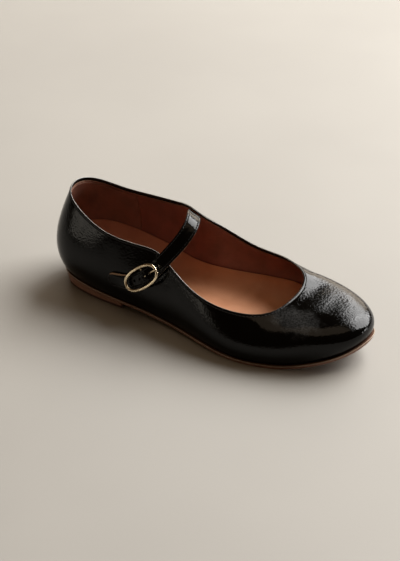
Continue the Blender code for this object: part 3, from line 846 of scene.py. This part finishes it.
# The sock's section from its bottom edge: up the side, over the cupped edge and in to the middle.
# rise is a share of the edge's climb, inset is from the lining, across a share of the half width
# from there to the middle line, and crown a lift in mm.
SockRing = collections.namedtuple("SockRing", "rise inset across crown")
SOCK_SECTION = (
    SockRing(-0.1, 0.9, 0.0, 0.0), SockRing(0.45, 0.0, 0.0, 0.0), SockRing(0.95, 0.0, 0.0, 0.0),
    SockRing(1.0, 0.5, 0.0, 0.05), SockRing(0.93, 1.2, 0.0, 0.0), SockRing(0.55, 1.5, 0.05, 0.0),
    SockRing(0.22, 1.6, 0.17, 0.0), SockRing(0.04, 1.6, 0.34, 0.0), SockRing(0.0, 1.6, 0.55, 0.1),
    SockRing(0.0, 1.6, 0.78, 0.35), SockRing(0.0, 1.6, 1.0, 0.5),
)


def sock_outline():
    """The CAD insole's bottom edge from the heel's back round the lateral side, and its thickness."""
    cad = copy_of("insole", "sock_gauge")
    points = points_of(cad)
    low = int(face_centres(cad)[:, 2].argmin())
    base = points[border(cad, flat_region(cad, low, 40))]
    bpy.data.objects.remove(cad)
    base = np.roll(base, -int(base[:, 0].argmin()), axis=0)
    if base[len(base) // 4, 1] > 0:
        base = np.roll(base[::-1], 1, axis=0)
    at_heel = points[:, 2][np.abs(points[:, 0] - base[0, 0]) < 0.1 * MM]
    return base, np.ptp(at_heel)


def make_sock():
    base, thick = sock_outline()
    count = len(base)
    middle = (base + base[-np.arange(count)]) / 2
    plan = np.roll(base, -1, axis=0) - np.roll(base, 1, axis=0)
    away = unit(np.column_stack([-plan[:, 1], plan[:, 0], np.zeros(count)]))
    away *= np.sign((away * base).sum(axis=1).mean())
    run = (base[:, 0] - base[:, 0].min()) / MM
    medial = np.clip(base[:, 1] / (SOCK_LEANS_OVER * MM), -1, 1) / 2 + 0.5
    climb = np.interp(run, [place.from_heel for place in CUP], [place.rise for place in CUP])
    climb *= CUP_LATERAL_SHARE + (1 - CUP_LATERAL_SHARE) * medial
    wall = inner_wall()
    rows = []
    for ring in SOCK_SECTION:
        row = []
        for foot, centre, way, lift in zip(base, middle, away, climb):
            rise = max(ring.rise * lift, 0) + min(ring.rise, 0) * SOCK_UNDERCUT
            level = foot[2] + thick + rise * MM
            start = foot - way * WALL_SEARCH * MM
            hit = wall.ray_cast(Vector((start[0], start[1], level)), Vector(way))[0]
            edge = np.array(hit) if hit else np.array([foot[0], foot[1], level])
            place = edge - way * (SOCK_GAP + ring.inset) * MM
            place = place * (1 - ring.across) + np.array([centre[0], centre[1], level]) * ring.across
            place[2] = level + ring.crown * MM
            row.append(place)
        rows.append(np.array(row))
    bpy.ops.mesh.primitive_circle_add(vertices=count, radius=0.05)
    sock = bpy.context.object
    sock.name = sock.data.name = "padded_sock"
    move_to(sock, base)
    under = [base * (1 - share) + middle * share for share in (0.1, 0.5, 1.0)]
    draw_out(sock, base, rows)
    draw_out(sock, base, under)
    face_outwards(sock)
    round_off(sock, 2)
    finish_modifiers(sock)
    return sock


padded_sock = make_sock()
done(padded_sock, [SOCK], ["insole"])


# ---- the buckle's seat

Seat = collections.namedtuple("Seat", "origin along across out")


def buckle_seat():
    """The buckle's own axes, from its CAD frame: a place there is along, across and out."""
    points = np.unique(np.round(points_of(NODES["buckle_frame"]), 6), axis=0)
    middle = points.mean(axis=0)
    axes = np.linalg.svd(points - middle, full_matrices=False)[2]
    along = axes[0] * np.sign(axes[0][2])
    out = -axes[2] * np.sign(axes[2][1])
    ring_top = ((points - middle) @ out).max()
    return Seat(middle + out * (ring_top - WIRE_DEEP / 2 * MM), along, np.cross(out, along), out)


WIRE_WIDE, WIRE_DEEP = 2.1, 1.9
FRAME_LONG, FRAME_WIDE = 30.5, 16.8
WIRE_HANDLE, FRAME_HANDLE = 0.6, 0.664      # a little squarer than an ellipse, which has 0.552
BAR_DROP = 4.55           # the bar lies this far below the frame's wire
BAR_RADIUS, BAR_CORNER = 0.6, 1.2
PRONG_SWELL = 0.12
SEAT = buckle_seat()


def at_buckle(places):
    return SEAT.origin + np.asarray(places, float) @ np.array([SEAT.along, SEAT.across, SEAT.out]) * MM


PRONG_FOOT = at_buckle([(7.0, 0, -1.2)])[0]


# ---- the strap's route, measured on the CAD strap

Route = collections.namedtuple("Route", "middle across out along")


def measure_strap():
    """The strap's outer face from its root to its tip: middles, unit vectors, and lengths along."""
    strap = copy_of("strap", "strap_gauge")
    face = flat_region(strap, int(face_centres(strap)[:, 2].argmax()))
    points = points_of(strap)[border(strap, face)]
    bpy.data.objects.remove(strap)
    ahead = unit(np.roll(points, -1, axis=0) - points)
    turn = -(ahead * np.roll(ahead, 1, axis=0)).sum(axis=1)
    turn[points[:, 1] < 5 * MM] = -math.inf      # the root is on the medial side
    a, b = sorted(np.argsort(turn)[-2:])
    if b - a > len(points) / 2:
        a, b = b, a + len(points)
    steps = np.arange((len(points) - (b - a - 1)) // 2)
    sides = points[(a - steps) % len(points)], points[(b + steps) % len(points)]
    toe, heel = sides if sides[0][0][0] > sides[1][0][0] else sides[::-1]
    middle = (toe + heel) / 2
    moved = np.linalg.norm(np.diff(middle, axis=0), axis=1) > 0.5 * MM
    rows = np.concatenate([[True], moved])
    middle, across = middle[rows], unit(toe[rows] - heel[rows])
    tangent = unit(np.gradient(middle, axis=0))
    out = unit(np.cross(tangent, across))
    out *= np.sign(out[:, 2].sum())
    along = np.concatenate([[0], np.cumsum(np.linalg.norm(np.diff(middle, axis=0), axis=1))])
    return Route(middle, across, out, along)


ROUTE = measure_strap()


def on_route(flat):
    """From along, across and out of a strap laid flat, to its place on the shoe."""
    flat = np.asarray(flat, float)
    along = ROUTE.along
    inside = np.clip(flat[:, 0], along[0], along[-1])

    def at(values):
        return np.column_stack([np.interp(inside, along, values[:, i]) for i in range(3)])

    middle = at(ROUTE.middle)
    tangent = unit(at(np.gradient(ROUTE.middle, axis=0)))
    middle += tangent * (flat[:, 0] - inside)[:, None]
    return middle + unit(at(ROUTE.across)) * flat[:, 1:2] + unit(at(ROUTE.out)) * flat[:, 2:3]


STRAP_WIDE, STRAP_THICK = 10.8, 1.8
STRAP_ROOT = -0.5         # the strap starts just under the ear's folded edge
ROOT_SPARE = 4            # length that is cut off again at the root
TIP_ROUND = 5.2
PANEL_RISE = 0.3          # how far the steps of the face lift the panel
EDGE_SHARES = (0.45, 0.1, 0.45)       # the edge is drawn down in these steps
TAIL_EDGE_LONG, TAIL_EDGE_WIDE, FACING_UP = 18, 0.95, 0.3     # where tan is painted on the tail's upward-facing edge as a painted highlight
# Insets from the strap's edge and steps up or down: a rolled edge, the stitch channel, the panel.
STRAP_FACE = ((0.3, 0.24), (0.35, 0.14), (0.4, -0.02), (0.3, -0.32), (0.25, 0.0), (0.3, 0.26), (0.5, 0.03))
STRAP_BACK = ((0.35, 0.2), (0.8, 0.0))


def make_strap():
    long = ROUTE.along[-1]
    bpy.ops.mesh.primitive_plane_add(size=1)
    strap = bpy.context.object
    strap.name = strap.data.name = "instep_strap"
    start = STRAP_ROOT - ROOT_SPARE
    length = long / MM - start
    points = points_of(strap) * (length, STRAP_WIDE, 0) + ((start + length / 2), 0, 0)
    move_to(strap, points * MM)
    tip = np.flatnonzero(points[:, 0] > 0)
    with editing(strap, "VERT", tip):
        bpy.ops.mesh.bevel(offset=TIP_ROUND * MM, segments=7, affect="VERTICES", clamp_overlap=False)
    body = STRAP_THICK - sum(step for _, step in STRAP_BACK) - PANEL_RISE
    with editing(strap, "FACE", [0]):
        for thickness, step in STRAP_FACE:
            bpy.ops.mesh.inset(thickness=thickness * MM, depth=step * MM, use_boundary=True)
    with editing(strap):
        bpy.ops.mesh.select_all(action="SELECT")
        bpy.ops.mesh.select_mode(type="EDGE")
        bpy.ops.mesh.region_to_loop()
        for share in EDGE_SHARES:
            bpy.ops.mesh.extrude_edges_move(TRANSFORM_OT_translate={"value": (0, 0, -body * share * MM)})
        bpy.ops.mesh.edge_face_add()
        bpy.ops.mesh.select_mode(type="FACE")
    low = face_centres(strap)[:, 2]
    corners = np.array([len(face.vertices) for face in strap.data.polygons])
    bottom = np.flatnonzero((low < low.min() + 0.01 * MM) & (corners > 4))
    with editing(strap, "FACE", bottom):
        for thickness, step in STRAP_BACK:
            bpy.ops.mesh.inset(thickness=thickness * MM, depth=step * MM, use_boundary=True)
    with editing(strap):
        cuts = [STRAP_ROOT, STRAP_ROOT + 0.35, *(ROUTE.along[1:] / MM)]
        for i, cut in enumerate(cuts):
            bpy.ops.mesh.select_all(action="SELECT")
            bpy.ops.mesh.bisect(
                plane_co=(cut * MM, 0, 0), plane_no=(1, 0, 0), clear_inner=i == 0, use_fill=i == 0
            )
    points = points_of(strap)
    points[:, 2] -= points[:, 2].max()
    move_to(strap, points)
    second_finish(strap)
    flat = face_centres(strap) / MM
    move_to(strap, on_route(points))
    face_outwards(strap)
    # painted highlight: the tail's upward-facing edge faces get the tan backing colour
    tail_painted_highlight = read(strap.data.polygons, "normal")[:, 2] > FACING_UP
    tail_painted_highlight &= flat[:, 0] > long / MM - TAIL_EDGE_LONG
    tail_painted_highlight &= abs(flat[:, 1]) > STRAP_WIDE / 2 - TAIL_EDGE_WIDE
    tail_painted_highlight &= flat[:, 1] * flat[tail_painted_highlight, 1].sum() > 0
    underside_and_tail_highlight = (flat[:, 2] < -STRAP_THICK * 0.5) | tail_painted_highlight
    strap.data.polygons.foreach_set("material_index", underside_and_tail_highlight.astype(int))
    return strap


HOLE_WIDE, HOLE_PITCH = 1.7, 5.0
HOLES = (-1, 0, 1, 2, 3)       # steps from the hole the prong is through, towards the tip
PULLED_LONG = 0.8         # each end of the prong's own hole is drawn out this far
CUTTER_LONG, CUTTER_DOWN = 5, 1.0
STITCH_INSET, STITCH_DEEP, STITCH_START = 1.47, 0.26, 1.5


def strap_hole_cutters(prong_at):
    cutters = []
    for step in HOLES:
        bpy.ops.mesh.primitive_cylinder_add(vertices=24, radius=HOLE_WIDE / 2 * MM, depth=CUTTER_LONG * MM)
        cutter = bpy.context.object
        points = points_of(cutter)
        if step == 0:
            points[:, 0] += np.sign(points[:, 0]) * PULLED_LONG * MM
        points += (prong_at + step * HOLE_PITCH * MM, 0, -CUTTER_DOWN * MM)
        move_to(cutter, on_route(points))
        cutters.append(cutter)
    pick(*cutters)
    bpy.ops.object.join()
    return cutters[0]


def punch(piece, cutter):
    hole = piece.modifiers.new("punch", "BOOLEAN")
    hole.object = cutter
    hole.solver = "EXACT"
    finish_modifiers(piece)
    bpy.data.objects.remove(cutter)


def strap_stitch_path():
    """The stitch line round the strap, a step in from its edge, with the way out at each place."""
    far = ROUTE.along[-1] / MM - TIP_ROUND
    wide = STRAP_WIDE / 2 - STITCH_INSET
    sides = np.arange(STRAP_ROOT + STITCH_START, far, 1.0)
    turns = np.linspace(-math.pi / 2, math.pi / 2, 13)
    flat = [(x, -wide) for x in sides]
    flat += [(far + (TIP_ROUND - STITCH_INSET) * math.cos(t), wide * math.sin(t)) for t in turns]
    flat += [(x, wide) for x in sides[::-1]]
    flat = np.array(flat)
    low = on_route(np.column_stack([flat, np.full(len(flat), -STITCH_DEEP)]) * MM)
    high = on_route(np.column_stack([flat, np.full(len(flat), 1.0)]) * MM)
    return low, unit(high - low)


prong_hole = ROUTE.along[nearest(ROUTE.middle, [PRONG_FOOT])[0]]
instep_strap = make_strap()
round_off(instep_strap, 2)
finish_modifiers(instep_strap)
punch(instep_strap, strap_hole_cutters(prong_hole))
stitch_row("strap_stitches", *strap_stitch_path(), BLACK_THREAD, "patent_leather", pitch=2.3, long=1.7)
done(instep_strap, [STRAP_PATENT, BACKING_AND_TAIL_HIGHLIGHT], ["strap"])


# ---- the sole's edge

BEAD_RADIUS = 0.36


def curve_to_mesh(curve, name):
    pick(curve)
    bpy.ops.object.convert(target="MESH")
    piece = bpy.context.object
    piece.name = piece.data.name = name
    return piece


def rod(name, path, radius, closed=False):
    """A round rod along a path."""
    line = bpy.data.curves.new(name, "CURVE")
    line.dimensions = "3D"
    spline = line.splines.new("POLY")
    spline.points.add(len(path) - 1)
    for point, place in zip(spline.points, path):
        point.co = (*place, 1)
    spline.use_cyclic_u = closed
    line.bevel_depth = radius
    line.bevel_resolution = 3
    line.use_fill_caps = not closed
    piece = bpy.data.objects.new(name, line)
    bpy.context.scene.collection.objects.link(piece)
    return curve_to_mesh(piece, name)


def sole_top_edge():
    """The outline of the outsole's upper face, a little inside its edge."""
    sole = copy_of("outsole", "sole_gauge")
    points = points_of(sole)
    facing_up = read(sole.data.polygons, "normal")[:, 2] > 0.8
    high = np.where(facing_up, face_centres(sole)[:, 2], -1)
    ring = points[border(sole, flat_region(sole, int(high.argmax()), 40))]
    bpy.data.objects.remove(sole)
    return ring


# a bead along the sole's top edge; its pale finish is a painted highlight
sole_bead = rod("sole_bead", sole_top_edge(), BEAD_RADIUS * MM, closed=True)
done(sole_bead, [WELT_PAINTED_HIGHLIGHT])


# ---- the buckle

def oval(long, wide, handle, steps):
    """A closed curve through the ends of its axes, in mm; a longer handle makes it squarer."""
    bpy.ops.curve.primitive_bezier_circle_add(radius=1)
    curve = bpy.context.object
    ends = ((-1, 0), (0, 1), (1, 0), (0, -1))
    for point, (x, y) in zip(curve.data.splines[0].bezier_points, ends):
        point.handle_left_type = point.handle_right_type = "FREE"
        here = np.array([x * long, y * wide, 0]) / 2
        turn = np.array([y * long, -x * wide, 0]) / 2 * handle
        point.co = here
        point.handle_left, point.handle_right = here - turn, here + turn
    curve.data.resolution_u = steps
    return curve


def make_ring():
    section = oval(WIRE_WIDE, WIRE_DEEP, WIRE_HANDLE, 6)
    ring = oval(FRAME_LONG - WIRE_WIDE, FRAME_WIDE - WIRE_WIDE, FRAME_HANDLE, 32)
    ring.data.twist_mode = "Z_UP"
    ring.data.bevel_mode = "OBJECT"
    ring.data.bevel_object = section
    ring = curve_to_mesh(ring, "buckle_ring")
    bpy.data.objects.remove(section)
    return ring


def make_bar():
    wide = FRAME_WIDE / 2 - WIRE_WIDE / 2
    bend = BAR_CORNER * (1 - math.sqrt(0.5))
    half = [
        (0, wide, 0), (0, wide, BAR_CORNER - BAR_DROP), (0, wide - bend, bend - BAR_DROP),
        (0, wide - BAR_CORNER, -BAR_DROP),
    ]
    path = half + [(x, -y, z) for x, y, z in half[::-1]]
    return rod("buckle_bar", path, BAR_RADIUS)


buckle_ring = make_ring()
buckle_bar = make_bar()
for piece in (buckle_ring, buckle_bar):
    move_to(piece, at_buckle(points_of(piece)))
pick(buckle_ring, buckle_bar)
bpy.ops.object.join()
face_outwards(buckle_ring)
done(buckle_ring, [GILT], ["buckle_frame"])

prong = copy_of("buckle_prong", "prong")
round_off(prong, 2)
finish_modifiers(prong)
with editing(prong):
    bpy.ops.mesh.select_all(action="SELECT")
    bpy.ops.transform.shrink_fatten(value=PRONG_SWELL * MM)
done(prong, [GILT], ["buckle_prong"])

tab = copy_of("buckle_tab", "tab")
done(tab, [STRAP_PATENT], ["buckle_tab"])


# ---- setting: floor, camera and lights

CAMERA_PLACE, CAMERA_AIM = (450.3, -741.2, 589.4), (-4.0, -3.0, 28.0)
CAMERA_ROLL = -0.01482    # radians
CAMERA_LENS, CAMERA_SENSOR = 91.2, 36


def make_camera():
    place = Vector(CAMERA_PLACE) * MM
    ahead = (Vector(CAMERA_AIM) * MM - place).normalized()
    right = ahead.cross(Vector((0, 0, 1))).normalized()
    up = right.cross(ahead)
    side = right * math.cos(CAMERA_ROLL) + up * math.sin(CAMERA_ROLL)
    top = up * math.cos(CAMERA_ROLL) - right * math.sin(CAMERA_ROLL)
    data = bpy.data.cameras.new("camera")
    data.lens = CAMERA_LENS
    data.sensor_width = CAMERA_SENSOR
    data.clip_start, data.clip_end = 0.05, 20
    camera = bpy.data.objects.new("camera", data)
    camera.matrix_world = Matrix((*zip(side, top, -ahead, place), (0, 0, 0, 1)))
    bpy.context.scene.collection.objects.link(camera)
    bpy.context.scene.camera = camera


def soft_light(name, place, aim, size, power, colour):
    data = bpy.data.lights.new(name, "AREA")
    data.shape = "RECTANGLE"
    data.size, data.size_y = size
    data.energy = power
    data.color = colour
    light = bpy.data.objects.new(name, data)
    light.location = place
    light.rotation_euler = (Vector(aim) - Vector(place)).to_track_quat("-Z", "Y").to_euler()
    bpy.context.scene.collection.objects.link(light)


make_camera()
bpy.ops.mesh.primitive_plane_add(size=8)
floor = bpy.context.object
floor.name = "floor"
floor.data.materials.append(FLOOR)
soft_light("window", (1.0, 1.9, 1.83), (0, 0, 0.03), (2.2, 2.2), 190, (1.0, 0.995, 0.985))
soft_light("window_edge", (-0.28, 2.28, 1.63), (0, 0, 0.03), (0.75, 1.2), 25, (1.0, 0.99, 0.98))
soft_light("bright_wall", (-1.15, 2.45, 0.74), (0, 0, 0.03), (2.6, 1.0), 26, (1.0, 0.87, 0.72))
soft_light("left_card", (-1.5, -1.45, 0.26), (0, 0, 0.03), (0.9, 0.32), 1.6, (1.0, 0.93, 0.8))
soft_light("low_card", (2.45, 1.2, 0.4), (0, 0, 0.05), (0.9, 0.45), 12, (1.0, 0.99, 0.98))
soft_light("ceiling", (0.1, -0.05, 1.6), (0, 0, 0), (1.15, 0.95), 2.6, (1.0, 0.78, 0.56))
world = bpy.data.worlds.new("room")
world.use_nodes = True
world.node_tree.nodes["Background"].inputs["Color"].default_value = (1.0, 0.6, 0.3, 1)
world.node_tree.nodes["Background"].inputs["Strength"].default_value = 0.06
bpy.context.scene.world = world
look = bpy.context.scene.view_settings
look.view_transform = "Standard"
